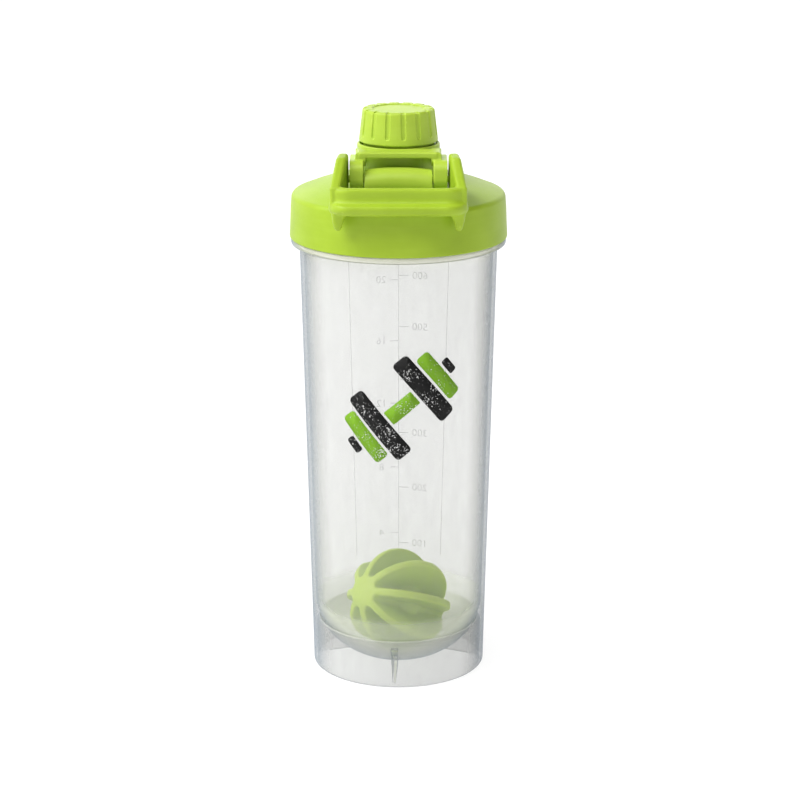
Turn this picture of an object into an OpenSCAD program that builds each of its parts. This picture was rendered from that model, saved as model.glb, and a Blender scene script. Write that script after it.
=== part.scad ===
// Protein shaker bottle: a see-through cup with a bowl bottom, a screw lid with a drinking
// spout, a flip arm that carries a screw-down cap, a carry handle and a loose mixer ball.
// Millimetres. Origin on the bottle's axis at the resting plane; the handle is towards -Y.

/* [Cup] */
// Outer radius of the foot
foot_r = 35.8; // [34:0.1:37]
// Outer radius of the body just under the flange
body_r = 40.2; // [39.5:0.1:40.4]
// Wall thickness of the cup
cup_wall = 1.6; // [1.2:0.1:1.8]
// Height of the flange's underside
flange_z = 180.4; // [180:0.1:180.8]
// Depth of the mixing bowl, from its rim to its lowest inner point
bowl_depth = 26; // [22:0.5:27]
// Number of ribs under the bowl
rib_count = 4; // [3:1:6]

/* [Lid] */
// Outer radius of the lid's skirt at its lower edge
lid_r = 44.1; // [43.9:0.1:45]
// Height from the skirt's lower edge to its shoulder
skirt_h = 17.2; // [16.8:0.1:17.6]
// Lead of the lid's thread
lid_lead = 6; // [5.5:0.5:7]
// Outer radius of the drinking spout
spout_r = 11.2; // [10:0.1:11.4]

/* [Cap] */
// Outer radius of the cap at its lower edge
cap_r = 15.9; // [15.6:0.1:16.2]
// Outer radius of the cap at its top
cap_top_r = 14.5; // [14.2:0.1:14.9]
// Height of the fluted cap
cap_h = 13.2; // [12.6:0.1:14]
// Number of grip channels round the cap
channel_count = 15; // [12:1:18]
// Lead of the cap's thread
cap_lead = 3; // [2.8:0.1:3.4]

/* [Hinge] */
// Distance of the hinge axis in front of the bottle's axis
hinge_front = 25.5; // [25:0.1:26.5]
// Radius of the hinge pins
pin_r = 1.4; // [1.2:0.1:1.5]

/* [Handle] */
// Half of the carry bar's length
bar_half = 27.3; // [27:0.1:29]
// Thickness of each side arm
side_t = 4.3; // [4:0.1:4.6]
// Outward lean of the side arms, in degrees
side_lean = 9; // [8:0.1:10]

/* [Mixer ball] */
// Radius of the ball over its fins
ball_r = 22; // [20:0.5:22]
// Number of fins round the ball
fin_count = 8; // [6:1:10]

/* [Hidden] */
$fn = 96;
green = [0.66, 0.82, 0.22];
clear_plastic = [0.90, 0.92, 0.90, 0.45];
silicone = [0.93, 0.94, 0.90];

// Cup
flange_r = lid_r - 0.5;
flange_t = 2.5;
neck_r = 39.5;
neck_bore_r = neck_r - 1.7;
rim_z = flange_z + 17.2;
bowl_floor_t = 1.7;
bowl_inner_z = 3;
bowl_top_z = bowl_inner_z + bowl_depth;
foot_round = 0.9;
rib_top_w = 3;
rib_foot_w = 1.2;
rib_top_z = 16;
rib_foot_in = [20, 3.6];
rib_foot_out_z = 1.2;
edge_round = 0.8;
lip_round = 0.6;

// Lid
lid_z = flange_z + flange_t + 0.2;
shoulder_z = lid_z + skirt_h;
lid_bore_r = 41.7;
gasket_t = 1.6;
gasket_z = rim_z + 0.05;
roof_z = gasket_z + gasket_t + 0.05;
plug_r = neck_bore_r - 0.5;
spout_bore_r = spout_r - 1.6;
spout_z = 222.4;
spout_foot_z = 210.6;
bore_foot_z = 207;
shoulder_round = 2.6;
plug_z = [194.6, 196];
// Ellipses of the dome, outside and inside: half width and half height, and their centre
dome_z = shoulder_z - 31.2;
dome_out = [68, 40.6];
dome_in = [66, 38.4];

// Threads: radii of the root and the crest of each ridge, and the widths there
ridge_root_w = 2.8;
ridge_crest_w = 1.0;
cup_thread_z = flange_z + 5.6;
cup_thread_r = [neck_r - 0.3, neck_r + 1.4];
lid_thread_r = [lid_bore_r + 0.3, lid_bore_r - 1.4];
cap_ridge_root_w = 1.3;
cap_ridge_crest_w = 0.5;
core_r = 14.2;
collar_bore_r = 15.6;
cap_thread_r = [core_r - 0.2, core_r + 0.9];
arm_thread_r = [collar_bore_r + 0.2, collar_bore_r - 0.9];

// Hinge axis, along X
hinge_z = 211.0;
pin_gap = 0.06;
pin_start = 4;
pin_end = 22.6;
knuckle_half = 13.4;
knuckle_r = 3.6;
knuckle_crown = 1.5;
leg_in = 13.7;
leg_out = 19.2;
leg_r = 4.6;

// Flip arm
collar_r = 16.7;
collar_z = [209.8, 221.2];
leg_back_z = 214.6;
yoke_top_z = 221.5;
yoke_out = 17;
yoke_front_y = -25.1;
yoke_back_y = -13;
yoke_round = 1.2;
leg_lobe_r = 4.6;
crossbar_z = 219;
cap_thread_z = 216;

// Cap
cap_z = 221.85;
core_z = 216.2;
core_top_z = 226.1;
seal_t = 1.6;
seal_r = 12.7;
seal_z = spout_z + 0.05;
cap_cavity_z = cap_z + cap_h - 2.4;
cap_dish_r = 10.3;
cap_cavity_r = 11.6;
cap_bore_r = 13.45;
cap_round = 1.2;
core_neck_r = 13.4;
core_wall = 1.2;
channel_w = 1.8;
channel_depth = 0.55;
channel_foot = 1.4;

// Handle
bar_z = [200.7, 211.4];
bar_back_y = -44.9;
bar_front_y = -53.2;
bar_lip_y = bar_front_y + 2.3;
hook_z = 193.4;
handle_top_y = [-29.9, -25.1];
handle_round = 1.8;
side_in = 19.5;
bar_corner = 7;
hook_x = [21.4, 25.6];

// Mixer ball, lying in the bowl
ball_z = bowl_inner_z + ball_r + 0.05;
ball_yaw = -51;
ball_tilt = 24;
ball_roll = 28;
fin_t = 3.2;
hub_r = 7;
ball_core_r = 9.5;

// Points of an ellipse arc in the plane of a turned outline, from angle a0 to a1
function arc(cx, cy, rx, ry, a0, a1, n = 12) =
    [for (i = [0:n]) let (a = a0 + (a1 - a0) * i / n) [cx + rx * cos(a), cy + ry * sin(a)]];

// Quarter circle of radius r inside the corner of an outline at x, y, over the quarter after a0:
// -90 is a lower right corner, 0 an upper right one and 90 an upper left one
function corner(x, y, r, a0, n = 4) =
    arc(x + (a0 == 90 ? r : -r), y + (a0 == -90 ? r : -r), r, r, a0, a0 + 90, n);

// Outer radius of the cup's body at a height
function body_at(z) = foot_r + (body_r - foot_r) * z / flange_z;

// A helical ridge: right-handed, its centre starting at height z0 and angle a0, fading in and
// out over its first and last stretch. radii is [root, crest].
module helical_ridge(radii, z0, lead, turns, a0, root_w, crest_w, per_turn = 40) {
    n = ceil(turns * per_turn);
    fade = 0.12;
    grow = [for (i = [0:n]) let (t = i / n) max(0.06, min(1, min(t, 1 - t) / fade))];
    points = [for (i = [0:n])
        let (a = a0 + 360 * turns * i / n, z = z0 + lead * turns * i / n,
             rc = radii[0] + (radii[1] - radii[0]) * grow[i], g = 0.5 + 0.5 * grow[i])
        for (p = [[radii[0], -root_w / 2 * g], [rc, -crest_w / 2 * g],
                  [rc, crest_w / 2 * g], [radii[0], root_w / 2 * g]])
            [p[0] * cos(a), p[0] * sin(a), z + p[1]]];
    outward = radii[1] > radii[0];
    sides = [for (i = [0:n - 1]) for (k = [0:3]) let (m = (k + 1) % 4)
        each [[4 * i + k, 4 * i + m, 4 * i + 4 + m], [4 * i + k, 4 * i + 4 + m, 4 * i + 4 + k]]];
    ends = [[3, 2, 1], [3, 1, 0], [4 * n, 4 * n + 1, 4 * n + 2], [4 * n, 4 * n + 2, 4 * n + 3]];
    faces = concat(sides, ends);
    polyhedron(points, outward ? faces : [for (f = faces) [f[2], f[1], f[0]]]);
}

// ---- Cup ----

module cup_outline() {
    inner_at_bowl = body_at(bowl_top_z) - cup_wall;
    skirt_in = foot_r - cup_wall;
    polygon(concat(
        [[skirt_in, 0]],
        corner(foot_r, 0, foot_round, -90, 5),
        [[body_at(flange_z - 1.2), flange_z - 1.2], [body_r + 0.9, flange_z]],
        corner(flange_r, flange_z, edge_round, -90, 4),
        corner(flange_r, flange_z + flange_t, edge_round, 0, 4),
        [[neck_r, flange_z + flange_t]],
        corner(neck_r, rim_z, edge_round, 0, 4),
        corner(neck_bore_r, rim_z, lip_round, 90, 4),
        [[neck_bore_r, flange_z + 2], [body_at(flange_z - 4) - cup_wall, flange_z - 4]],
        arc(0, bowl_top_z, inner_at_bowl, bowl_depth, 0, -90, 22),
        arc(0, bowl_top_z, inner_at_bowl + 0.6, bowl_depth + bowl_floor_t, -90, -20, 18),
        [[skirt_in + 0.25, bowl_top_z - 12]]
    ));
}

// A gusset between the bowl and the foot, along +Y, thinner towards its lower edge
module bowl_rib() {
    outer_end = foot_r - cup_wall / 2;
    intersection() {
        rotate([90, 0, 90]) translate([0, 0, -rib_top_w]) linear_extrude(2 * rib_top_w)
            polygon(concat(
                [rib_foot_in, [outer_end, rib_foot_out_z], [outer_end, rib_top_z]],
                arc(0, bowl_top_z, body_at(bowl_top_z) - cup_wall + 0.1, bowl_depth + 0.8, -30, -62, 8)
            ));
        rotate([90, 0, 0]) translate([0, 0, -outer_end - 1]) linear_extrude(outer_end + 1)
            polygon([[-rib_foot_w / 2, 0], [rib_foot_w / 2, 0],
                     [rib_top_w / 2, rib_top_z + 1], [-rib_top_w / 2, rib_top_z + 1]]);
    }
}

module cup_body() color(clear_plastic) union() {
    rotate_extrude() cup_outline();
    for (i = [0:rib_count - 1]) rotate(177 + i * 360 / rib_count) bowl_rib();
    helical_ridge(cup_thread_r, cup_thread_z, lid_lead, 1.4, 0, ridge_root_w, ridge_crest_w);
}

// ---- Mixer ball ----

module ball_fin() {
    rotate([90, 0, 0]) translate([0, 0, -fin_t / 2]) linear_extrude(fin_t)
        intersection() {
            circle(ball_r);
            translate([0, -ball_r]) square([ball_r, 2 * ball_r]);
        }
}

module mixer_ball() color(green)
    translate([0, 0, ball_z]) rotate([0, 0, ball_yaw]) rotate([-90 - ball_tilt, 0, 0])
    intersection() {
        sphere(ball_r);
        union() {
            sphere(ball_core_r);
            for (i = [0:fin_count - 1]) rotate(ball_roll + i * 360 / fin_count) ball_fin();
            cylinder(r = hub_r, h = 2 * ball_r, center = true);
        }
    }

// ---- Lid ----

module lid_outline() {
    polygon(concat(
        [[lid_bore_r, lid_z]],
        arc(lid_r - 0.5, lid_z + 0.5, 0.5, 0.5, -90, 0, 4),
        [[lid_r - 0.55, shoulder_z - 4.5]],
        arc(lid_r - 3.4, shoulder_z - 1.4, shoulder_round, shoulder_round, 12, 62, 6),
        arc(0, dome_z, dome_out[0], dome_out[1], 54.2, 77.6, 16),
        arc(spout_r + 1.4, spout_foot_z, 1.4, 1.4, 250, 180, 5),
        corner(spout_r, spout_z, edge_round, 0, 5),
        corner(spout_bore_r, spout_z, lip_round, 90, 4),
        [[spout_bore_r, bore_foot_z]],
        arc(0, dome_z, dome_in[0], dome_in[1], 79.5, 58, 14),
        [[plug_r - 1.2, plug_z[1]], [plug_r - 0.9, plug_z[0]], [plug_r, plug_z[0]],
         [plug_r, roof_z], [lid_bore_r, roof_z]]
    ));
}

// The block that the flip arm and the handle are pinned to
module hinge_knuckle() {
    top_z = hinge_z + knuckle_r;
    crown_r = (knuckle_half ^ 2 + knuckle_crown ^ 2) / (2 * knuckle_crown);
    intersection() {
        rotate([90, 0, 90]) translate([0, 0, -knuckle_half]) linear_extrude(2 * knuckle_half)
            polygon(concat(
                [[-hinge_front - knuckle_r - 0.4, 204]],
                arc(-hinge_front, hinge_z, knuckle_r, knuckle_r, 175, 40, 12),
                [[-hinge_front + 6.5, 206]]
            ));
        translate([0, 0, top_z - crown_r]) rotate([90, 0, 0]) cylinder(r = crown_r, h = 50);
    }
}

module lid_shell() color(green) difference() {
    union() {
        rotate_extrude() lid_outline();
        hinge_knuckle();
        helical_ridge(lid_thread_r, cup_thread_z + lid_lead / 2, lid_lead, 1.2, 0,
                      ridge_root_w, ridge_crest_w);
    }
    for (s = [-1, 1]) translate([s > 0 ? pin_start : -knuckle_half - 1, -hinge_front, hinge_z])
        rotate([0, 90, 0]) cylinder(r = pin_r, h = knuckle_half + 1 - pin_start);
}

module lid_gasket() color(silicone) rotate_extrude()
    polygon([[plug_r + 0.1, gasket_z], [lid_bore_r - 0.3, gasket_z],
             [lid_bore_r - 0.3, gasket_z + gasket_t], [plug_r + 0.1, gasket_z + gasket_t]]);

// ---- Hinge pins ----

// One pin, along +X from inside the knuckle, through a leg, to its chamfered end in the handle
module hinge_pin() translate([pin_start, -hinge_front, hinge_z]) rotate([0, 90, 0]) {
    chamfer = 0.3;
    length = pin_end - pin_start;
    rotate_extrude() polygon([
        [0, 0], [pin_r, 0], [pin_r, length - chamfer], [pin_r - chamfer, length], [0, length]]);
}

module hinge_pin_right() color(green) hinge_pin();

module hinge_pin_left() color(green) mirror([1, 0, 0]) hinge_pin();

// ---- Flip arm ----

// Side view of a leg: round about the hinge below, a rounded lobe in front above it
module leg_profile() {
    polygon(concat(
        arc(-hinge_front, hinge_z, leg_r, leg_r, 180, 330, 14),
        [[-18.5, leg_back_z], [-8, leg_back_z], [-8, 217.6]],
        arc(-hinge_front + 0.4, 214.0, leg_lobe_r, leg_lobe_r - 0.2, 85, 165, 8)
    ));
}

// Side view of the raised shoulder that joins a leg to the crossbar
module yoke_profile() {
    polygon(concat(
        [[yoke_front_y, 217.8]],
        arc(yoke_front_y + 1.5, yoke_top_z - yoke_round, yoke_round, yoke_round, 170, 90, 4),
        [[yoke_back_y, yoke_top_z - 0.5], [yoke_back_y, leg_back_z], [-17, leg_back_z], [-22, 215.5]]
    ));
}

module flip_arm() color(green) difference() {
    union() {
        rotate_extrude() polygon([
            [collar_bore_r, collar_z[0]], [collar_r, collar_z[0]], [collar_r - 0.1, collar_z[1] - 0.5],
            [collar_r - 0.5, collar_z[1]], [collar_bore_r, collar_z[1]]]);
        for (s = [-1, 1]) {
            translate([s > 0 ? leg_in : -leg_out, 0, 0]) rotate([90, 0, 90])
                linear_extrude(leg_out - leg_in) leg_profile();
            translate([s > 0 ? leg_in - 0.8 : -yoke_out, 0, 0]) rotate([90, 0, 90])
                linear_extrude(yoke_out - leg_in + 0.8) yoke_profile();
        }
        // crossbar between the legs, running into the collar behind it
        translate([-leg_in, -24, crossbar_z]) cube([2 * leg_in, 8, yoke_top_z - 0.3 - crossbar_z]);
        helical_ridge(arm_thread_r, cap_thread_z, cap_lead, 1.05, 0,
                      cap_ridge_root_w, cap_ridge_crest_w);
    }
    translate([0, 0, collar_z[0] - 1]) cylinder(r = arm_thread_r[1] - 0.02, h = 15);
    for (s = [-1, 1]) translate([s > 0 ? leg_in - 1 : -leg_out - 1, -hinge_front, hinge_z])
        rotate([0, 90, 0]) cylinder(r = pin_r + pin_gap, h = leg_out - leg_in + 2);
}

// ---- Cap ----

module cap_seal() color(silicone) translate([0, 0, seal_z]) cylinder(r = seal_r, h = seal_t);

module cap_core() color(green) union() {
    bore_r = core_r - core_wall;
    rotate_extrude() polygon([
        [bore_r, core_z], [core_r, core_z], [core_r, cap_z - 0.05],
        [core_neck_r, cap_z - 0.05], [core_neck_r, core_top_z], [0, core_top_z], [0, seal_z + seal_t + 0.05],
        [bore_r, seal_z + seal_t + 0.05]]);
    helical_ridge(cap_thread_r, cap_thread_z + cap_lead / 2, cap_lead, 1.2, 0,
                  cap_ridge_root_w, cap_ridge_crest_w);
}

// One grip channel, cut down the cap's side and across its rim, in the XZ plane
module cap_channel() {
    lean = atan((cap_r - cap_top_r) / cap_h);
    length = cap_h - channel_foot - channel_w / 2;
    translate([cap_r - channel_depth, 0, cap_z + 0.05]) rotate([0, 90 - lean, 0])
        linear_extrude(3) translate([-cap_h - 1, 0]) {
            translate([0, -channel_w / 2]) square([length, channel_w]);
            translate([length, 0]) circle(d = channel_w);
        }
    translate([cap_dish_r - 0.5, -channel_w / 2, cap_z + cap_h - channel_depth])
        cube([cap_r - cap_dish_r, channel_w, 2]);
}

module cap_shell() color(green) difference() {
    rotate_extrude() polygon(concat(
        [[cap_bore_r, cap_z], [cap_r - 0.3, cap_z], [cap_r, cap_z + 0.4]],
        arc(cap_top_r - cap_round, cap_z + cap_h - cap_round, cap_round, cap_round, 5, 90, 6),
        [[cap_dish_r + 0.2, cap_z + cap_h], [cap_dish_r, cap_z + cap_h - channel_depth],
         [0, cap_z + cap_h - channel_depth],
         [0, cap_cavity_z], [cap_cavity_r, cap_cavity_z], [cap_cavity_r, core_top_z + 0.05],
         [cap_bore_r, core_top_z + 0.05]]
    ));
    for (i = [0:channel_count - 1]) rotate(-90 + 7.5 + i * 360 / channel_count) cap_channel();
}

// ---- Carry handle ----

module side_profile() {
    polygon(concat(
        arc(-hinge_front, hinge_z, 5, 5, 250, 380, 10),
        arc(handle_top_y[1], 219, handle_round, handle_round, 10, 80, 4),
        arc(handle_top_y[0], 218.1, handle_round, handle_round, 95, 135, 3),
        [[-45.4, bar_z[1] - 0.2], [-45.4, bar_z[0] + 0.5], [-39.6, bar_z[0] + 0.5], [-36, 204.6]]
    ));
}

module bar_profile() {
    polygon(concat(
        [[bar_back_y, bar_z[0] + 1.2], [bar_back_y, bar_z[1] - 0.8]],
        arc(bar_back_y - 1.1, bar_z[1] - 1.1, 1.1, 1.1, 20, 160, 6),
        arc(bar_front_y, 208.2, 6.2, 5.6, 20, -32, 8),
        arc(bar_front_y + 3.8, 202.6, 1.5, 1.9, 120, 270, 8)
    ));
}

// Seen from above: the bar's straight front and its rounded corners
module bar_plan() {
    polygon(concat(
        [[bar_half, -38], [-bar_half, -38]],
        arc(-bar_half + bar_corner, bar_lip_y + bar_corner, bar_corner, bar_corner, 180, 270, 8),
        arc(bar_half - bar_corner, bar_lip_y + bar_corner, bar_corner, bar_corner, 270, 360, 8)
    ));
}

// Side view of the hooked foot under each end of the bar
module hook_profile() {
    polygon([[-43.6, hook_z + 0.8], [-42.4, hook_z], [-40.2, hook_z], [-39.4, hook_z + 0.8],
             [-39.6, bar_z[0] + 2], [-44.4, bar_z[0] + 2]]);
}

module carry_handle() color(green) difference() {
    union() {
        for (s = [-1, 1]) translate([s * (side_in + side_t / 2), 0, 219.5]) rotate([0, -s * side_lean, 0])
            translate([-side_t / 2, 0, -219.5]) rotate([90, 0, 90])
                linear_extrude(side_t) side_profile();
        for (x = [-hook_x[1], hook_x[0]]) translate([x, 0, 0])
            rotate([90, 0, 90]) linear_extrude(hook_x[1] - hook_x[0]) hook_profile();
        intersection() {
            rotate([90, 0, 90]) translate([0, 0, -bar_half]) linear_extrude(2 * bar_half) bar_profile();
            translate([0, 0, bar_z[0] - 1]) linear_extrude(bar_z[1] - bar_z[0] + 2) bar_plan();
        }
    }
    // blind holes that take the ends of the pins
    for (s = [-1, 1]) translate([s > 0 ? side_in - 3 : -pin_end - 0.2, -hinge_front, hinge_z])
        rotate([0, 90, 0]) cylinder(r = pin_r + pin_gap, h = pin_end + 0.2 - side_in + 3);
}

cup_body();
mixer_ball();
lid_gasket();
lid_shell();
hinge_pin_left();
hinge_pin_right();
flip_arm();
cap_seal();
cap_core();
cap_shell();
carry_handle();
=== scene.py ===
import math

import bmesh
import bpy
from mathutils import Matrix, Vector


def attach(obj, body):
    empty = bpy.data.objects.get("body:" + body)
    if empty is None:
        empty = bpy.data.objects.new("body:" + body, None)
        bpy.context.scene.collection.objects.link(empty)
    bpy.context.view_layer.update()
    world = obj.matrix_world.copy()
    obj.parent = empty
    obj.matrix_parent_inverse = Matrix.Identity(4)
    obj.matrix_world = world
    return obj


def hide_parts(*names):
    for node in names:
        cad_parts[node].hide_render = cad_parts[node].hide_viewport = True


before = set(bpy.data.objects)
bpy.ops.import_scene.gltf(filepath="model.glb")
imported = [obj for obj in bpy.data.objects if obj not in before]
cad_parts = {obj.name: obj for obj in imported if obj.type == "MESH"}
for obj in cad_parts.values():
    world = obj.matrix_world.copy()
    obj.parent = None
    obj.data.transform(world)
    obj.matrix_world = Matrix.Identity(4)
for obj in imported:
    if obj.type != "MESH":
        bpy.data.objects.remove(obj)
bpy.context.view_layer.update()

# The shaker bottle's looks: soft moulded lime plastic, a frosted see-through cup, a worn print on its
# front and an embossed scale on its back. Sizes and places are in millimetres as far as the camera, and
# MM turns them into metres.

MM = 0.001

# The cup's outside, as part of a cone: radius at the foot and at the flange's underside
FOOT_R = 35.8
BODY_R = 40.2
FLANGE_Z = 180.4
FLANGE_TOP_Z = 183.0

# The bowl's outside, an ellipse hung from its rim
BOWL_TOP_Z = 29.0
BOWL_R = 35.5
BOWL_DROP = 27.7

# How dense the cup's plastic looks, seen square and edge-on, and what its thicker places add to that
WALL_ALPHA = 0.165
EDGE_ALPHA = 0.68
BOWL_ALPHA = 0.11
FOOT_ALPHA = 0.13
RIB_ALPHA = 0.35
FLANGE_ALPHA = 0.35

# Where the looks of the cup's foot, neck and front and back ribs fade, from and to
FOOT_FADE = (20, 30)
NECK_FADE = (176, 182)
RIB_FADE_X = (1.7, 1.9)
RIB_FADE_Y = (33, 34)
RIB_FADE_Z = (16, 17)

# Colours of the cup's plastic: its clear wall in two tones, its thicker places, and seen edge-on. The bowl's
# near-white tint is partly its own frosting and partly painted light, which brightens the bowl and the ribs
# where they lie in shade.
CLEAR_DEEP = (0.56, 0.565, 0.545)
CLEAR_PALE = (0.60, 0.605, 0.575)
FOOT_TINT = (0.45, 0.46, 0.45)
NECK_TINT = (0.66, 0.67, 0.50)
BOWL_FROST_AND_PAINTED_LIGHT = (0.96, 0.98, 0.86)
EDGE_TINT = (0.13, 0.19, 0.25)

PLASTIC_IOR = 1.49


def body_radius(z):
    """Outer radius of the cup at a height, both in mm."""
    return FOOT_R + (BODY_R - FOOT_R) * z / FLANGE_Z


# ---- Materials ----

def add_node(tree, kind, **values):
    """A new node. Values name its inputs, or its own settings, with _ for a space."""
    made = tree.nodes.new(kind)
    for key, value in values.items():
        name = key.replace("_", " ")
        if name in made.inputs:
            made.inputs[name].default_value = value
        else:
            setattr(made, key, value)
    return made


def new_material(name):
    """A material with an empty tree, its output node and its Principled shader."""
    material = bpy.data.materials.new(name)
    material.use_nodes = True
    tree = material.node_tree
    tree.nodes.clear()
    output = add_node(tree, "ShaderNodeOutputMaterial")
    shader = add_node(tree, "ShaderNodeBsdfPrincipled")
    tree.links.new(shader.outputs["BSDF"], output.inputs["Surface"])
    return material, tree, shader


def noise_at(tree, scale, stretch=(1, 1, 1), detail=3.0):
    """Noise in the object's own space. Scale is in features per metre."""
    coords = add_node(tree, "ShaderNodeTexCoord")
    mapping = add_node(tree, "ShaderNodeMapping", Scale=stretch)
    texture = add_node(tree, "ShaderNodeTexNoise", Scale=scale, Detail=detail, Roughness=0.55)
    tree.links.new(coords.outputs["Object"], mapping.inputs["Vector"])
    tree.links.new(mapping.outputs["Vector"], texture.inputs["Vector"])
    return texture.outputs["Fac"]


def ramp(tree, source, low, high, from_value, to_value):
    """Source mapped from low..high to from_value..to_value, held at both ends."""
    scaled = add_node(tree, "ShaderNodeMapRange", clamp=True)
    for name, value in zip(("From Min", "From Max", "To Min", "To Max"), (low, high, from_value, to_value)):
        scaled.inputs[name].default_value = value
    tree.links.new(source, scaled.inputs["Value"])
    return scaled.outputs["Result"]


def math_node(tree, operation, first, second=None):
    """The result of a Math node on one socket or two."""
    made = add_node(tree, "ShaderNodeMath", operation=operation)
    tree.links.new(first, made.inputs[0])
    if second:
        tree.links.new(second, made.inputs[1])
    return made.outputs["Value"]


def object_place(tree):
    """The outputs X, Y and Z of a node that splits the object's own coordinates."""
    coords = add_node(tree, "ShaderNodeTexCoord")
    parts = add_node(tree, "ShaderNodeSeparateXYZ")
    tree.links.new(coords.outputs["Object"], parts.inputs["Vector"])
    return parts.outputs


def fade_in(tree, distance, start, end):
    """0 up to a start and 1 from an end on, both in mm."""
    return ramp(tree, distance, start * MM, end * MM, 0.0, 1.0)


def fade_out(tree, distance, start, end):
    """1 up to a start and 0 from an end on, both in mm."""
    return ramp(tree, distance, start * MM, end * MM, 1.0, 0.0)


def mix_colour(tree, factor, first, second):
    """Two colours, or sockets, mixed by a factor socket."""
    mix = add_node(tree, "ShaderNodeMix", data_type="RGBA")
    tree.links.new(factor, mix.inputs["Factor"])
    for place, value in ((6, first), (7, second)):
        if isinstance(value, tuple):
            mix.inputs[place].default_value = (*value, 1.0)
        else:
            tree.links.new(value, mix.inputs[place])
    return mix.outputs[2]


def grain_bump(tree, shader, height, strength, depth):
    """A fine raised grain on the surface. Depth is in millimetres."""
    bump = add_node(tree, "ShaderNodeBump", Strength=strength, Distance=depth * MM)
    tree.links.new(height, bump.inputs["Height"])
    tree.links.new(bump.outputs["Normal"], shader.inputs["Normal"])


def lime_plastic(name, deep, main, pale, subsurface):
    """Satin moulded plastic: broad tone changes, faint flow streaks, a painted highlight that makes sharp
    edges paler, and a fine grain.
    """
    material, tree, shader = new_material(name)
    broad = ramp(tree, noise_at(tree, 55), 0.35, 0.65, 0.0, 1.0)
    body = mix_colour(tree, broad, deep, main)
    streaks = ramp(tree, noise_at(tree, 60, stretch=(0.6, 0.6, 6)), 0.45, 0.75, 0.0, 0.12)
    streaked = mix_colour(tree, streaks, body, pale)
    # Painted highlight: sharp edges are mixed towards the pale colour, as if light caught them.
    edge = add_node(tree, "ShaderNodeNewGeometry").outputs["Pointiness"]
    wear_and_edge_highlight = mix_colour(tree, ramp(tree, edge, 0.52, 0.60, 0.0, 0.45), streaked, pale)
    tree.links.new(wear_and_edge_highlight, shader.inputs["Base Color"])
    grain = noise_at(tree, 1900, detail=4.0)
    tree.links.new(ramp(tree, grain, 0.3, 0.7, 0.37, 0.49), shader.inputs["Roughness"])
    grain_bump(tree, shader, grain, 0.25, 0.05)
    shader.inputs["IOR"].default_value = PLASTIC_IOR
    shader.inputs["Specular IOR Level"].default_value = 0.3
    shader.inputs["Subsurface Weight"].default_value = subsurface
    shader.inputs["Subsurface Radius"].default_value = (1.0, 0.9, 0.25)
    shader.inputs["Subsurface Scale"].default_value = 2.5 * MM
    return material


def bowl_mask(tree):
    """1 on the bowl's wall and 0 elsewhere on the cup: inside the bowl's outer ellipse, below its rim."""
    coords = add_node(tree, "ShaderNodeTexCoord")
    place = add_node(tree, "ShaderNodeVectorMath", operation="SUBTRACT")
    place.inputs[1].default_value = (0, 0, BOWL_TOP_Z * MM)
    tree.links.new(coords.outputs["Object"], place.inputs[0])
    shrunk = add_node(tree, "ShaderNodeVectorMath", operation="DIVIDE")
    shrunk.inputs[1].default_value = (BOWL_R * MM, BOWL_R * MM, BOWL_DROP * MM)
    tree.links.new(place.outputs["Vector"], shrunk.inputs[0])
    reach = add_node(tree, "ShaderNodeVectorMath", operation="LENGTH")
    tree.links.new(shrunk.outputs["Vector"], reach.inputs[0])
    parts = add_node(tree, "ShaderNodeSeparateXYZ")
    tree.links.new(place.outputs["Vector"], parts.inputs["Vector"])
    inside = ramp(tree, reach.outputs["Value"], 1.005, 1.02, 1.0, 0.0)
    below = fade_out(tree, parts.outputs["Z"], -2, 1)
    return math_node(tree, "MULTIPLY", inside, below)


def rib_mask(tree, place, bowl):
    """1 on the front and back ribs, which stand in the plane X = 0 between the foot ring and the bowl."""
    near = fade_out(tree, math_node(tree, "ABSOLUTE", place["X"]), *RIB_FADE_X)
    within = fade_out(tree, math_node(tree, "ABSOLUTE", place["Y"]), *RIB_FADE_Y)
    low = fade_out(tree, place["Z"], *RIB_FADE_Z)
    rib = math_node(tree, "MULTIPLY", math_node(tree, "MULTIPLY", near, within), low)
    return math_node(tree, "MULTIPLY", rib, ramp(tree, bowl, 0.0, 1.0, 1.0, 0.0))


def flange_mask(tree, place):
    """1 on the flange under the lid."""
    above = fade_in(tree, place["Z"], FLANGE_Z - 0.5, FLANGE_Z)
    below = fade_out(tree, place["Z"], FLANGE_TOP_Z, FLANGE_TOP_Z + 0.2)
    return math_node(tree, "MULTIPLY", above, below)


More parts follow.
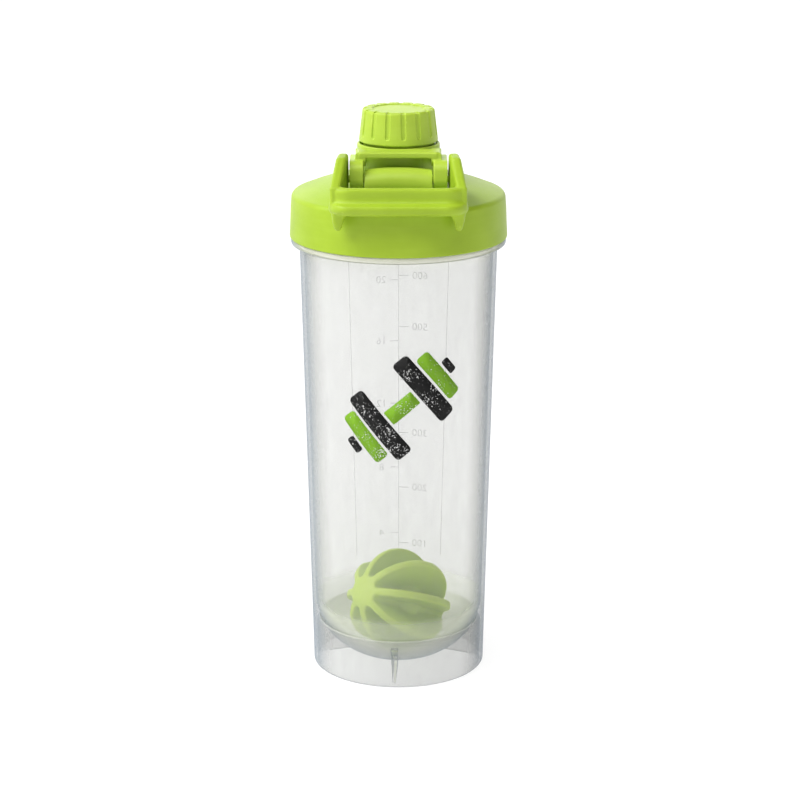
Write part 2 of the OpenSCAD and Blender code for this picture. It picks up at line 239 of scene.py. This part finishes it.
def frosted_cup(name):
    """Frosted see-through plastic. A surface seen edge-on is denser and bluer than one seen square. The
    bowl, the foot, the ribs in front and behind, and the flange are denser than the wall, and the bowl,
    the foot, the ribs and the neck have tints of their own. The near-white tint of the bowl and the ribs
    is partly painted light, which brightens them where they lie in shade."""
    material, tree, shader = new_material(name)
    facing = add_node(tree, "ShaderNodeLayerWeight", Blend=0.5).outputs["Facing"]
    rim = ramp(tree, facing, 0.50, 0.90, 0.0, 1.0)
    haze = ramp(tree, noise_at(tree, 42), 0.3, 0.7, 0.0, 1.0)
    place = object_place(tree)
    foot = fade_out(tree, place["Z"], *FOOT_FADE)
    neck = fade_in(tree, place["Z"], *NECK_FADE)
    bowl = bowl_mask(tree)
    rib = rib_mask(tree, place, bowl)

    colour = mix_colour(tree, haze, CLEAR_DEEP, CLEAR_PALE)
    # The bowl and the ribs share a near-white tint, partly painted light on places that lie in shade.
    for mask, tint in ((foot, FOOT_TINT), (neck, NECK_TINT), (bowl, BOWL_FROST_AND_PAINTED_LIGHT), (rib, BOWL_FROST_AND_PAINTED_LIGHT),
                       (rim, EDGE_TINT)):
        colour = mix_colour(tree, mask, colour, tint)
    tree.links.new(colour, shader.inputs["Base Color"])

    dense = ramp(tree, facing, 0.40, 0.93, WALL_ALPHA, EDGE_ALPHA)
    flange = flange_mask(tree, place)
    for mask, extra in ((bowl, BOWL_ALPHA), (foot, FOOT_ALPHA), (rib, RIB_ALPHA), (flange, FLANGE_ALPHA)):
        thicker = add_node(tree, "ShaderNodeMath", operation="MULTIPLY_ADD")
        tree.links.new(mask, thicker.inputs[0])
        thicker.inputs[1].default_value = extra
        tree.links.new(dense, thicker.inputs[2])
        dense = thicker.outputs["Value"]
    cloud = ramp(tree, noise_at(tree, 300, stretch=(1, 1, 0.3)), 0.3, 0.7, -0.015, 0.015)
    alpha = add_node(tree, "ShaderNodeMath", operation="ADD", use_clamp=True)
    tree.links.new(dense, alpha.inputs[0])
    tree.links.new(cloud, alpha.inputs[1])
    tree.links.new(alpha.outputs["Value"], shader.inputs["Alpha"])

    grain = noise_at(tree, 1300, detail=2.0)
    tree.links.new(ramp(tree, grain, 0.3, 0.7, 0.24, 0.34), shader.inputs["Roughness"])
    grain_bump(tree, shader, grain, 0.12, 0.04)
    shader.inputs["IOR"].default_value = PLASTIC_IOR
    shader.inputs["Specular IOR Level"].default_value = 0.2
    return material


def raised_marks(name):
    """The same plastic where it is thicker, so that embossed marks read a little darker."""
    material, tree, shader = new_material(name)
    shade = mix_colour(tree, noise_at(tree, 500), (0.44, 0.46, 0.46), (0.54, 0.56, 0.55))
    tree.links.new(shade, shader.inputs["Base Color"])
    tree.links.new(ramp(tree, noise_at(tree, 900), 0.3, 0.7, 0.14, 0.24), shader.inputs["Alpha"])
    shader.inputs["Roughness"].default_value = 0.3
    return material


def worn_ink(name, deep, main):
    """Screen-printed ink with small chips worn through it, more of them in some places."""
    material, tree, shader = new_material(name)
    tone = mix_colour(tree, noise_at(tree, 800), deep, main)
    tree.links.new(tone, shader.inputs["Base Color"])
    chips = noise_at(tree, 1500, detail=6.0)
    patches = ramp(tree, noise_at(tree, 110), 0.42, 0.68, 0.0, 0.13)
    wear_and_edge_highlight = math_node(tree, "ADD", chips, patches)
    tree.links.new(ramp(tree, wear_and_edge_highlight, 0.64, 0.67, 1.0, 0.12), shader.inputs["Alpha"])
    grain_bump(tree, shader, noise_at(tree, 1500, detail=2.0), 0.2, 0.03)
    shader.inputs["Roughness"].default_value = 0.6
    shader.inputs["Specular IOR Level"].default_value = 0.15
    return material


def soft_silicone(name):
    """Matt silicone with a dusty bloom."""
    material, tree, shader = new_material(name)
    bloom = mix_colour(tree, noise_at(tree, 260), (0.74, 0.75, 0.70), (0.86, 0.87, 0.83))
    tree.links.new(bloom, shader.inputs["Base Color"])
    grain_bump(tree, shader, noise_at(tree, 2400), 0.3, 0.04)
    shader.inputs["Roughness"].default_value = 0.62
    shader.inputs["Subsurface Weight"].default_value = 0.15
    shader.inputs["Subsurface Scale"].default_value = 2 * MM
    return material


LIME = lime_plastic("lime_moulded", deep=(0.325, 0.475, 0.020), main=(0.36, 0.52, 0.026),
                    pale=(0.50, 0.66, 0.08), subsurface=0.1)
# A brighter copy of the same lime plastic: painted light on the small parts above the dome.
LIME_PAINTED_LIGHT = lime_plastic("lime_painted_light", deep=(0.40, 0.56, 0.045), main=(0.45, 0.61, 0.055),
                    pale=(0.58, 0.74, 0.12), subsurface=0.1)
BALL = lime_plastic("lime_ball", deep=(0.46, 0.63, 0.05), main=(0.54, 0.71, 0.08),
                    pale=(0.72, 0.82, 0.22), subsurface=0.3)
CUP = frosted_cup("frosted_cup")
MARKS = raised_marks("raised_marks")
BLACK_INK = worn_ink("black_ink", deep=(0.006, 0.006, 0.006), main=(0.016, 0.016, 0.016))
LIME_INK = worn_ink("lime_ink", deep=(0.17, 0.36, 0.018), main=(0.20, 0.41, 0.025))
SILICONE = soft_silicone("silicone_seal")


# ---- Mesh tools ----

def finish_piece(piece, body, slot, material, *nodes):
    """Gives a piece its material, the body it rides on and the CAD nodes it stands for. Its slot is not
    used.
    """
    piece.data.materials.clear()
    piece.data.materials.append(material)
    piece.data.polygons.foreach_set("use_smooth", [True] * len(piece.data.polygons))
    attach(piece, body)
    if nodes:
        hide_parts(*nodes)
    return piece


def mesh_piece(name, bm):
    """A new object at the origin from a bmesh."""
    mesh = bpy.data.meshes.new(name)
    bm.to_mesh(mesh)
    bm.free()
    piece = bpy.data.objects.new(name, mesh)
    bpy.context.scene.collection.objects.link(piece)
    return piece


def apply_modifiers(piece):
    """Turns a piece's modifiers into its mesh."""
    graph = bpy.context.evaluated_depsgraph_get()
    mesh = bpy.data.meshes.new_from_object(piece.evaluated_get(graph))
    piece.modifiers.clear()
    piece.data = mesh


def moulded(piece, voxel, rounds, keep):
    """Gives solids that overlap one moulded skin with rounded edges: remeshed to cubes of voxel mm,
    smoothed for a number of rounds, then thinned to a share of its faces."""
    remesh = piece.modifiers.new("remesh", "REMESH")
    remesh.mode = "VOXEL"
    remesh.voxel_size = voxel * MM
    smooth = piece.modifiers.new("smooth", "SMOOTH")
    smooth.factor = 0.5
    smooth.iterations = rounds
    thin = piece.modifiers.new("thin", "DECIMATE")
    thin.ratio = keep
    apply_modifiers(piece)
    return piece


def soft_copy(name, node, extra=None):
    """A copy of a CAD node, with more solids added from a bmesh in metres."""
    bm = bmesh.new()
    bm.from_mesh(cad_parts[node].data)
    bmesh.ops.remove_doubles(bm, verts=bm.verts[:], dist=0.002 * MM)
    if extra:
        added = bpy.data.meshes.new("extra")
        extra.to_mesh(added)
        extra.free()
        bm.from_mesh(added)
    return mesh_piece(name, bm)


def add_loft(bm, rings):
    """A closed solid through rings of the same number of points, in mm, with a flat cap at each end."""
    rows = [[bm.verts.new(Vector(p) * MM) for p in ring] for ring in rings]
    for low, high in zip(rows, rows[1:]):
        for i, corner in enumerate(low):
            k = (i + 1) % len(low)
            bm.faces.new((corner, low[k], high[k], high[i]))
    bm.faces.new(rows[0][::-1])
    bm.faces.new(rows[-1])


def curve_through(points, steps):
    """A smooth line through points, Catmull-Rom, with steps between each pair."""
    ends = [points[0], *points, points[-1]]
    line = []
    for a, b, c, d in zip(ends, ends[1:], ends[2:], ends[3:]):
        for i in range(steps):
            t = i / steps
            line.append(tuple(0.5 * (2 * q + (r - p) * t + (2 * p - 5 * q + 4 * r - w) * t * t
                                     + (3 * q - p - 3 * r + w) * t ** 3)
                              for p, q, r, w in zip(a, b, c, d)))
    return [*line, points[-1]]


def arc_points(cx, cy, r, start, end, steps=8):
    """Points on an arc, angles in degrees."""
    return [(cx + r * math.cos(math.radians(start + (end - start) * i / steps)),
             cy + r * math.sin(math.radians(start + (end - start) * i / steps))) for i in range(steps + 1)]


def add_lathe(bm, profile, steps):
    """A closed ring: a closed outline of (radius, z) points in mm, turned round the Z axis."""
    rows = []
    for i in range(steps):
        a = 2 * math.pi * i / steps
        rows.append([bm.verts.new(Vector((r * math.cos(a), r * math.sin(a), z)) * MM) for r, z in profile])
    for i, row in enumerate(rows):
        after = rows[(i + 1) % steps]
        for j, corner in enumerate(row):
            k = (j + 1) % len(row)
            bm.faces.new((corner, after[j], after[k], row[k]))


# ---- CAD nodes that stay, with their materials ----

def paint_node(node, material):
    """A CAD node keeps its mesh and gets a material in place of its own."""
    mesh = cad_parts[node].data
    mesh.materials.clear()
    mesh.materials.append(material)


for node in ("lid_shell", "hinge_pin_left", "hinge_pin_right", "cap_core"):
    paint_node(node, LIME)
for node in ("lid_gasket", "cap_seal"):
    paint_node(node, SILICONE)
paint_node("cup_body", CUP)


# ---- Moulded pieces ----

HINGE_Y, HINGE_Z = -25.5, 211.0

# The flip arm, seen from the front: its crossbar over the window, the window's upper corners, the
# shoulders where the yoke meets the legs, and the yoke's own upper corners
ARM_FRONT_Y = -25.1
RAIL_BACK_Y = -21.5
WINDOW_X = 13.7
WINDOW_TOP = 219.0
WINDOW_CORNER = 2.0
WINDOW_CORNER_Y = (ARM_FRONT_Y + 0.2, -17)
SHOULDER = [(16.5, 219.3), (17.2, 217.6), (18.6, 216), (18.6, 214.5), (16.5, 214.5)]
SHOULDER_Y = (-25.2, -22)
YOKE_X = 17.0
YOKE_TOP = 221.4
YOKE_CORNER = 1.7
YOKE_BACK_Y = -14.0


def window_corner():
    """Outline of the piece that rounds one upper corner of the window, as (x, z)."""
    cx, cz = WINDOW_X - WINDOW_CORNER, WINDOW_TOP - WINDOW_CORNER
    outline = [(WINDOW_X + 1, WINDOW_TOP + 1), (cx, WINDOW_TOP + 1), (cx, WINDOW_TOP)]
    outline += arc_points(cx, cz, WINDOW_CORNER, 90, 0, 6)
    return outline + [(WINDOW_X + 1, cz)]


def round_yoke(piece):
    """Rounds the yoke's two upper corners, seen from the front."""
    for v in piece.data.vertices:
        out = abs(v.co.x) / MM - YOKE_X + YOKE_CORNER
        up = v.co.z / MM - YOKE_TOP + YOKE_CORNER
        reach = math.hypot(out, up)
        if out > 0 and up > 0 and reach > YOKE_CORNER and v.co.y < YOKE_BACK_Y * MM:
            v.co.x = math.copysign(YOKE_X - YOKE_CORNER + out * YOKE_CORNER / reach, v.co.x) * MM
            v.co.z = (YOKE_TOP - YOKE_CORNER + up * YOKE_CORNER / reach) * MM


def flip_arm():
    """The cap's frame. Its crossbar is flush with its legs, and its window has rounded upper corners."""
    extra = bmesh.new()
    rail = [(ARM_FRONT_Y + 0.5, 221.5), (ARM_FRONT_Y, 220.9), (ARM_FRONT_Y, 219.3),
            (ARM_FRONT_Y + 0.4, WINDOW_TOP), (RAIL_BACK_Y, WINDOW_TOP), (RAIL_BACK_Y, 221.3)]
    add_loft(extra, [[(x, y, z) for y, z in rail] for x in (-WINDOW_X - 1.5, WINDOW_X + 1.5)])
    for side in (-1, 1):
        add_loft(extra, [[(side * x, y, z) for x, z in window_corner()] for y in WINDOW_CORNER_Y])
        add_loft(extra, [[(side * x, y, z) for x, z in SHOULDER] for y in SHOULDER_Y])
    bmesh.ops.recalc_face_normals(extra, faces=extra.faces[:])
    piece = moulded(soft_copy("flip_arm_moulded", "flip_arm", extra), voxel=0.22, rounds=12, keep=0.4)
    round_yoke(piece)
    return piece


# The carry handle's bar: how far its face stands out from its back, and half its length, each with the
# height, from the top down. Its ends turn back to its sides on a wide corner.
BAR_BACK_Y = -44.9
BAR_FACE = [(1.2, 211.4), (2.3, 210.9), (2.5, 209.8), (2.4, 208.2), (2.45, 206.9), (2.8, 206.2),
            (3.3, 205.6), (5.1, 205.0), (5.8, 204.4), (5.8, 203.4), (5.2, 202.2), (4.4, 201.3), (3.4, 200.7)]
BAR_ENDS = [(25.0, 211.4), (26.3, 210.8), (26.9, 209.6), (26.7, 207.8), (26.6, 206.2), (26.8, 204.6),
            (27.2, 203.2), (27.3, 202.4), (27.0, 201.4), (26.2, 200.7)]
BAR_CORNER = 8.5
BAR_SIDE_Y = -40.5
BAR_INNER_X = 21.6
BAR_BEVEL = 1.5

# Its side arms: how far apart their inner faces are at the hinge, how thick they are and how they spread
ARM_IN = 19.6
ARM_T = 4.3
ARM_SPLAY = 0.15

# Its feet: each ring's height, inner and outer X, front and back Y, and how square a ring is
FOOT_RINGS = [(203.0, 18.6, 26.4, -46.5, -39.0),
              (200.6, 19.6, 26.1, -46.2, -39.2),
              (199.4, 20.7, 25.9, -45.6, -39.3),
              (197.6, 21.3, 25.7, -45.0, -39.4),
              (195.2, 21.9, 25.1, -44.4, -39.6),
              (193.9, 22.7, 24.3, -43.4, -40.4)]
FOOT_POWER = 0.6


def arm_inner_x(y):
    """How far out an arm's inner face is. The arms spread apart from the hinge to the bar."""
    return ARM_IN + ARM_SPLAY * max(0, HINGE_Y - y)


def end_at(z):
    """Half the bar's length at a height."""
    for (x0, z0), (x1, z1) in zip(BAR_ENDS, BAR_ENDS[1:]):
        if z >= z1:
            return x1 + (x0 - x1) * (z - z1) / (z0 - z1)
    return BAR_ENDS[-1][0]


def handle_bar(bm):
    """The bar's front is straight with a hollow face, and its ends turn back to the arms."""
    back = [(-BAR_INNER_X - BAR_BEVEL, BAR_SIDE_Y), (-BAR_INNER_X, BAR_BACK_Y + BAR_BEVEL),
            (-BAR_INNER_X + BAR_BEVEL, BAR_BACK_Y)]
    back += [(-x, y) for x, y in back[::-1]]
    angles = [math.radians(a) for a in range(0, 91, 6)]
    rings = []
    for stand, z in curve_through(BAR_FACE, 3):
        corner_x = end_at(z) - BAR_CORNER
        depth = BAR_BACK_Y - stand - BAR_SIDE_Y
        right = [(corner_x + BAR_CORNER * math.cos(a), BAR_SIDE_Y + depth * math.sin(a)) for a in angles]
        right += [(x, BAR_SIDE_Y + depth) for x in (14, 9, 4)]
        front = right + [(-x, y) for x, y in right[::-1]]
        rings.append([(x, y, z) for x, y in front + back])
    add_loft(bm, rings)


def inset_outline(points, d):
    """A closed outline moved inwards by d."""
    area = sum(a[0] * b[1] - b[0] * a[1] for a, b in zip(points, points[1:] + points[:1]))
    turn = 1 if area > 0 else -1
    moved = []
    for before, here, after in zip(points[-1:] + points[:-1], points, points[1:] + points[:1]):
        along = (Vector(after) - Vector(before)).normalized()
        moved.append((here[0] - turn * along.y * d, here[1] + turn * along.x * d))
    return moved


def handle_arm(bm, side):
    """One side arm, from the hinge to the bar, with rounded edges."""
    outline = arc_points(HINGE_Y, HINGE_Z, 5, 250, 380, 12)
    outline += arc_points(-25.3, 219.2, 1.9, 10, 80, 5) + arc_points(-29.6, 218.3, 2.1, 95, 140, 5)
    outline += [(-31.1 - 14.1 * t, 219.6 - 8.4 * t) for t in (0.15, 0.3, 0.45, 0.6, 0.75, 0.9, 1)]
    outline += [(-45.2, 206), (-45.2, 201.6), (-42.5, 201.4), (-40, 201.4)]
    outline += [(-38, 203), (-36, 204.6), (-31.5, 205.6)]
    edges = ((0, 1.0), (0.3, 0.35), (1.0, 0), (ARM_T - 1.2, 0), (ARM_T - 0.4, 0.45), (ARM_T, 1.2))
    add_loft(bm, [[(side * (arm_inner_x(y) + across), y, z) for y, z in inset_outline(outline, inset)]
                  for across, inset in edges])


def squared(t):
    """A cosine or sine turned into one that goes round a squarer outline than a circle."""
    return math.copysign(abs(t) ** FOOT_POWER, t)


def handle_foot(bm, side):
    """The foot under one end of the bar, wide where it joins and rounded at its tip."""
    angles = [2 * math.pi * i / 16 for i in range(16)]
    rings = []
    for z, inner, outer, front, back in FOOT_RINGS:
        cx, cy = (inner + outer) / 2, (front + back) / 2
        rx, ry = (outer - inner) / 2, (back - front) / 2
        rings.append([(side * (cx + rx * squared(math.cos(a))), cy + ry * squared(math.sin(a)), z)
                      for a in angles])
    add_loft(bm, rings)


def carry_handle():
    """The bar with its two arms and two feet, as one moulding."""
    bm = bmesh.new()
    handle_bar(bm)
    for side in (-1, 1):
        handle_arm(bm, side)
        handle_foot(bm, side)
    bmesh.ops.recalc_face_normals(bm, faces=bm.faces[:])
    return moulded(mesh_piece("carry_handle_moulded", bm), voxel=0.25, rounds=14, keep=0.35)


def fluted_cap():
    """The cap's shell, with the channels dying out in a soft rim round the dish on its top."""
    rim = bmesh.new()
    outline = [(10.3, 234.2), (10.6, 234.8), (11.2, 234.95), (12.4, 234.9), (13.0, 234.6), (13.0, 234.2)]
    add_lathe(rim, outline, 120)
    bmesh.ops.recalc_face_normals(rim, faces=rim.faces[:])
    return moulded(soft_copy("fluted_cap", "cap_shell", rim), voxel=0.18, rounds=4, keep=0.4)


# The hinge apron: half its width, and how far its ends hang below its middle
APRON_HALF = 13.3
APRON_SAG = 1.0
APRON_STEPS = 24


def hinge_apron():
    """The lid's rounded face between the arm's legs, arched from side to side."""
    bm = bmesh.new()
    outline = arc_points(-24.6, 209.4, 6.0, 75, 195, 16) + [(-28, 206.5), (-24, 208)]
    rings = []
    for i in range(APRON_STEPS + 1):
        x = -APRON_HALF + 2 * APRON_HALF * i / APRON_STEPS
        sag = APRON_SAG * (abs(x) / APRON_HALF) ** 2.5
        rings.append([(x, y, z - sag) for y, z in outline])
    add_loft(bm, rings)
    bmesh.ops.recalc_face_normals(bm, faces=bm.faces[:])
    return moulded(mesh_piece("hinge_apron", bm), voxel=0.25, rounds=6, keep=0.3)


def mixer_ball():
    """The finned ball, with soft edges."""
    return moulded(soft_copy("mixer_ball_moulded", "mixer_ball"), voxel=0.5, rounds=12, keep=0.5)


# The apron, the flip arm and the cap take the brighter copy of the lime, which paints light on them.
finish_piece(hinge_apron(), "lid", "lid_plastic", LIME_PAINTED_LIGHT)
finish_piece(flip_arm(), "arm", "lid_plastic", LIME_PAINTED_LIGHT, "flip_arm")
finish_piece(carry_handle(), "handle", "lid_plastic", LIME, "carry_handle")
finish_piece(fluted_cap(), "cap", "lid_plastic", LIME_PAINTED_LIGHT, "cap_shell")
finish_piece(mixer_ball(), "ball", "ball_plastic", BALL, "mixer_ball")


# ---- Print on the cup's front ----

# The emblem's middle and its tilt in degrees, and how far the ink stands off the cup
EMBLEM_Z = 121
EMBLEM_X = 1.4
EMBLEM_TILT = 40
PRINT_LIFT = 0.03
PRINT_T = 0.03


def rounded_plate(length, height, corner, steps=6):
    """Corners of a rectangle with rounded corners, centred on the origin, in mm."""
    points = []
    for quarter, (sx, sy) in enumerate(((1, 1), (-1, 1), (-1, -1), (1, -1))):
        for i in range(steps + 1):
            a = math.radians(90 * quarter + 90 * i / steps)
            points.append((sx * (length / 2 - corner) + corner * math.cos(a),
                           sy * (height / 2 - corner) + corner * math.sin(a)))
    return points


def wrap_on_cup(bm, side, lift):
    """Bends a flat drawing, with x across and z up in mm, onto the cup's front (side -1) or back (1)."""
    for v in bm.verts:
        r = body_radius(v.co.z) + lift + v.co.y
        a = v.co.x / body_radius(v.co.z)
        v.co = Vector((r * math.sin(a), side * r * math.cos(a), v.co.z)) * MM


def flat_shapes(shapes, thickness, cell=1.0):
    """Flat outlines in the XZ plane, cut into cells so that they can be bent, and given a thickness."""
    bm = bmesh.new()
    for outline in shapes:
        face = bm.faces.new([bm.verts.new((x, 0, z)) for x, z in outline])
        face.normal_update()
    xs = [v.co.x for v in bm.verts]
    for cut in range(int(min(xs) / cell), int(max(xs) / cell) + 1):
        geometry = bm.verts[:] + bm.edges[:] + bm.faces[:]
        bmesh.ops.bisect_plane(bm, geom=geometry, plane_co=(cut * cell, 0, 0), plane_no=(1, 0, 0))
    made = bmesh.ops.extrude_face_region(bm, geom=bm.faces[:])
    for v in made["geom"]:
        if isinstance(v, bmesh.types.BMVert):
            v.co.y += thickness
    bmesh.ops.recalc_face_normals(bm, faces=bm.faces[:])
    return bm


def print_piece(name, plates, material):
    """A printed layer: rounded plates given as (offset along the bar, length, height, corner)."""
    tilt = Matrix.Rotation(math.radians(EMBLEM_TILT), 2)
    shapes = []
    for offset, length, height, corner in plates:
        turned = [tilt @ Vector((x + offset, z)) for x, z in rounded_plate(length, height, corner)]
        shapes.append([(p.x + EMBLEM_X, p.y + EMBLEM_Z) for p in turned])
    bm = flat_shapes(shapes, PRINT_T)
    wrap_on_cup(bm, -1, PRINT_LIFT)
    bmesh.ops.recalc_face_normals(bm, faces=bm.faces[:])
    return finish_piece(mesh_piece(name, bm), "cup", "clear_cup", material)


# A dumbbell's parts as (length, height, corner): lime grip and outer discs, black inner discs and stubs
PLATE_GAP = 1.0
GRIP = (14.0, 6.4, 0.6)
INNER = (7.6, 32.0, 1.8)
OUTER = (6.2, 23.0, 1.6)
STUB = (3.4, 7.0, 1.0)
inner_x = GRIP[0] / 2 + PLATE_GAP + INNER[0] / 2
outer_x = inner_x + INNER[0] / 2 + PLATE_GAP + OUTER[0] / 2
stub_x = outer_x + OUTER[0] / 2 + PLATE_GAP + STUB[0] / 2
print_piece("print_black", [(s * inner_x, *INNER) for s in (-1, 1)] + [(s * stub_x, *STUB) for s in (-1, 1)],
            BLACK_INK)
print_piece("print_lime", [(0, *GRIP)] + [(s * outer_x, *OUTER) for s in (-1, 1)], LIME_INK)


# ---- Embossed scale on the cup's back ----

MARK_T = 0.12
LINE_W = 0.3
TICK_W = 1.3 * LINE_W
LINES_FOOT = 34
LINES_TOP = 177
UNITS_Z = 170
PANEL_TOP_X = 22.5
PANEL_FOOT_X = 18.9
DIGIT_H = 4.6

# Millilitres on one side of the centre line and ounces on the other: the middle of the numbers, and the
# ends of the ticks
ML_X = -9.2
OZ_X = 7.4
ML_TICK = (-4.2, -0.3)
OZ_TICK = (0.3, 3.6)

# The drink fills the bowl first, and then the straight part of the cup
CUP_WALL = 1.6
BOWL_FULL_Z = 29.0
BOWL_FULL_ML = 66.0
ML_PER_OZ = 29.57
HEIGHT_STEP = 0.1


def height_for(ml):
    """Height of the drink's surface for a volume that more than fills the bowl."""
    z, held = BOWL_FULL_Z, BOWL_FULL_ML
    while held < ml:
        held += math.pi * (body_radius(z) - CUP_WALL) ** 2 * HEIGHT_STEP / 1000
        z += HEIGHT_STEP
    return z


ML_MARKS = [(ml, height_for(ml)) for ml in range(100, 601, 100)]
OZ_MARKS = [(oz, height_for(oz * ML_PER_OZ)) for oz in range(4, 21, 4)]


def strip(x0, z0, x1, z1, width):
    """The four corners of a straight stroke."""
    along = Vector((x1 - x0, z1 - z0)).normalized()
    side = Vector((-along.y, along.x)) * width / 2
    return [(x0 + side.x, z0 + side.y), (x1 + side.x, z1 + side.y),
            (x1 - side.x, z1 - side.y), (x0 - side.x, z0 - side.y)]


def scale_lines():
    """Two side lines, a centre line, and a tick at every mark."""
    lines = [strip(s * PANEL_FOOT_X, LINES_FOOT, s * PANEL_TOP_X, LINES_TOP, LINE_W) for s in (-1, 1)]
    lines.append(strip(0, LINES_FOOT, 0, LINES_TOP, LINE_W))
    for marks, (start, end) in ((ML_MARKS, ML_TICK), (OZ_MARKS, OZ_TICK)):
        lines += [strip(start, z, end, z, TICK_W) for _, z in marks]
    return lines


def text_mesh(word, x, z):
    """A word as flat faces in the XZ plane, centred on x and z in mm."""
    curve = bpy.data.curves.new("digits", "FONT")
    curve.body = word
    curve.size = DIGIT_H
    curve.align_x = "CENTER"
    curve.align_y = "CENTER"
    curve.resolution_u = 3
    holder = bpy.data.objects.new("digits", curve)
    bpy.context.scene.collection.objects.link(holder)
    graph = bpy.context.evaluated_depsgraph_get()
    mesh = bpy.data.meshes.new_from_object(holder.evaluated_get(graph))
    bpy.data.objects.remove(holder)
    mesh.transform(Matrix.Translation((x, 0, z)) @ Matrix.Rotation(math.radians(90), 4, "X"))
    return mesh


def scale_marks():
    """The raised lines and the numbers beside them, to be read from behind the bottle."""
    bm = flat_shapes(scale_lines(), MARK_T)
    words = [(f"{ml}", ML_X, z) for ml, z in ML_MARKS] + [(f"{oz}", OZ_X, z) for oz, z in OZ_MARKS]
    words += [("ml", ML_X, UNITS_Z), ("oz", OZ_X, UNITS_Z)]
    for word, x, z in words:
        letters = bmesh.new()
        letters.from_mesh(text_mesh(word, x, z))
        bmesh.ops.remove_doubles(letters, verts=letters.verts[:], dist=0.01)
        raised = bmesh.ops.extrude_face_region(letters, geom=letters.faces[:])
        for v in raised["geom"]:
            if isinstance(v, bmesh.types.BMVert):
                v.co.y += MARK_T
        solid = bpy.data.meshes.new("letters")
        letters.to_mesh(solid)
        letters.free()
        bm.from_mesh(solid)
    # read from behind, so left and right swap
    for v in bm.verts:
        v.co.x = -v.co.x
    wrap_on_cup(bm, 1, 0)
    bmesh.ops.recalc_face_normals(bm, faces=bm.faces[:])
    return finish_piece(mesh_piece("embossed_scale", bm), "cup", "clear_cup", MARKS)


scale_marks()


# ---- Camera, lights and floor, in metres ----

LENS_MM = 111.97
CAMERA_AT = (0.0006, -0.9886, 0.3987)
CAMERA_DOWN = 16.105

# What the lights point at, about the middle of the bottle
MIDDLE = (0, 0, 0.12)

FLOOR_HALF = 8
WORLD_GLOW = 0.05

# The far wall's outline as (radius, z), in mm like every lathe's
FAR_WALL = [(7000, -10), (7050, -10), (7050, 1900), (7000, 1900)]


def camera():
    """A long lens in front of the bottle, looking a little down at it."""
    data = bpy.data.cameras.new("camera")
    data.lens = LENS_MM
    data.sensor_width = 36
    data.clip_end = 50
    view = bpy.data.objects.new("camera", data)
    view.location = CAMERA_AT
    view.rotation_euler = (math.radians(90 - CAMERA_DOWN), 0, 0)
    bpy.context.scene.collection.objects.link(view)
    bpy.context.scene.camera = view


def softbox(name, place, size, power):
    """A rectangular area light at a place, turned to the bottle, which the camera itself doesn't see."""
    data = bpy.data.lights.new(name, "AREA")
    data.shape = "RECTANGLE"
    data.size, data.size_y = size
    data.energy = power
    light = bpy.data.objects.new(name, data)
    light.location = place
    light.rotation_euler = (Vector(MIDDLE) - Vector(place)).to_track_quat("-Z", "Y").to_euler()
    light.visible_camera = False
    bpy.context.scene.collection.objects.link(light)


def soft_sun(towards, strength, spread):
    """One large, even light, as from a big diffuser. It lies towards a direction, spread over degrees."""
    data = bpy.data.lights.new("sun", "SUN")
    data.energy = strength
    data.angle = math.radians(spread)
    light = bpy.data.objects.new("sun", data)
    light.rotation_euler = Vector(towards).to_track_quat("Z", "Y").to_euler()
    bpy.context.scene.collection.objects.link(light)


def studio_surface(name, bm, low, high, glow):
    """A plain surface of the studio, in two close greys, with a glow that keeps it near white."""
    surface = mesh_piece(name, bm)
    material, tree, shader = new_material(name)
    paper = mix_colour(tree, noise_at(tree, 3), (low,) * 3, (high,) * 3)
    tree.links.new(paper, shader.inputs["Base Color"])
    shader.inputs["Roughness"].default_value = 0.9
    shader.inputs["Specular IOR Level"].default_value = 0.1
    shader.inputs["Emission Color"].default_value = (1, 1, 1, 1)
    shader.inputs["Emission Strength"].default_value = glow
    surface.data.materials.append(material)


def floor_and_wall():
    """A pale floor, and a low round wall far off that closes the view at its horizon."""
    bm = bmesh.new()
    bmesh.ops.create_grid(bm, x_segments=8, y_segments=8, size=FLOOR_HALF)
    studio_surface("pale_floor", bm, low=0.22, high=0.25, glow=0.86)
    bm = bmesh.new()
    add_lathe(bm, FAR_WALL, 96)
    studio_surface("pale_wall", bm, low=0.10, high=0.12, glow=0.93)


def surroundings():
    """A faint even glow from all round."""
    world = bpy.data.worlds.new("studio")
    bpy.context.scene.world = world
    world.use_nodes = True
    background = world.node_tree.nodes["Background"]
    background.inputs["Color"].default_value = (1, 1, 1, 1)
    background.inputs["Strength"].default_value = WORLD_GLOW


camera()
soft_sun(towards=(-0.68, -0.17, 0.71), strength=3.0, spread=45)
softbox("top", place=(-0.1, -0.45, 1.1), size=(0.7, 0.5), power=4.5)
softbox("backdrop", place=(0, 1.4, 0.9), size=(2.6, 1.0), power=14)
floor_and_wall()
surroundings()
scene = bpy.context.scene
scene.view_settings.view_transform = "Standard"
scene.cycles.transparent_max_bounces = 32
